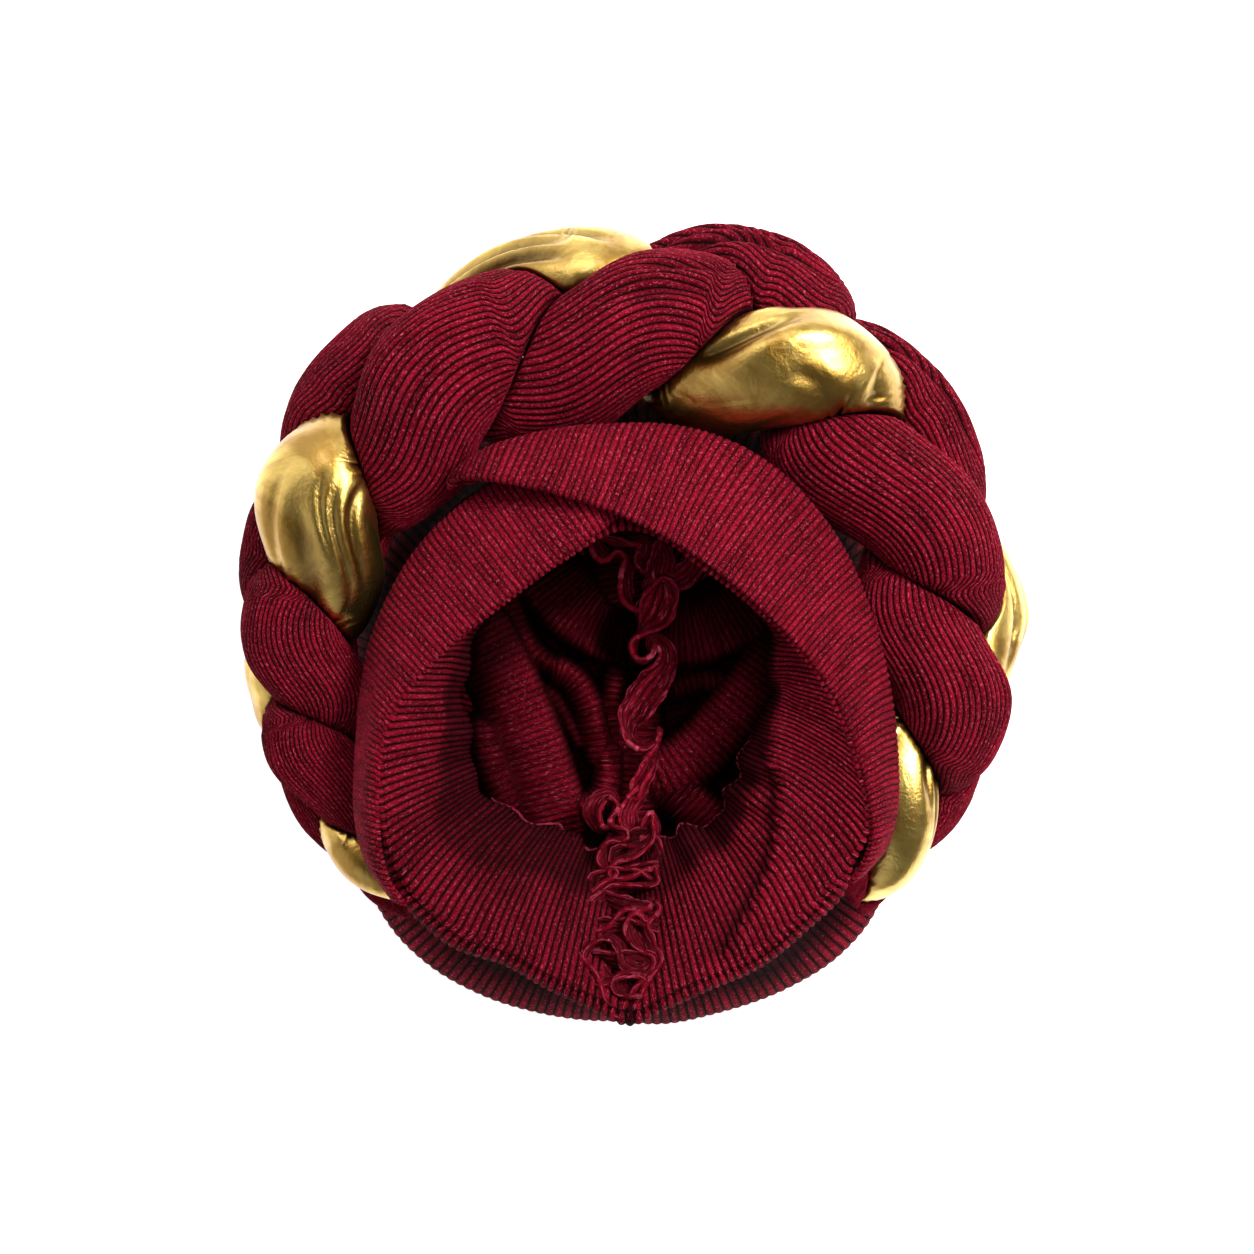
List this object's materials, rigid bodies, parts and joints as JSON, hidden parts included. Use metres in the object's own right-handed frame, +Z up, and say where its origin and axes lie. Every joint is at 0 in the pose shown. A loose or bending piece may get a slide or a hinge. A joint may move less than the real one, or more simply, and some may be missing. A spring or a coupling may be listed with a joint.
{
  "type": "turban headwrap",
  "caption": "Pull-on rib-knit turban headwrap with crossed front bands and a thick padded plait round its front and sides, lying on its crown with the opening up.",
  "frame": {"origin": "middle of the flat stretch of the crown that the turban rests on", "axes": "+Z up out of the head opening, +Y towards the forehead side where the bands cross, +X to the viewer's right in the top view"},
  "size_m": [0.2827, 0.289, 0.1032],
  "materials": {
    "wine_knit": "matte rib knit",
    "gold_leathercloth": "metallic gold, soft grain"
  },
  "bodies": {
    "root": {"cap_shell": "wine_knit", "hem_facing": "wine_knit", "front_band_left": "wine_knit", "front_band_right": "wine_knit", "seam_ruffle": "wine_knit", "braid_strand_gold": "gold_leathercloth", "braid_strand_left": "wine_knit", "braid_strand_right": "wine_knit"}
  },
  "joints": []
}
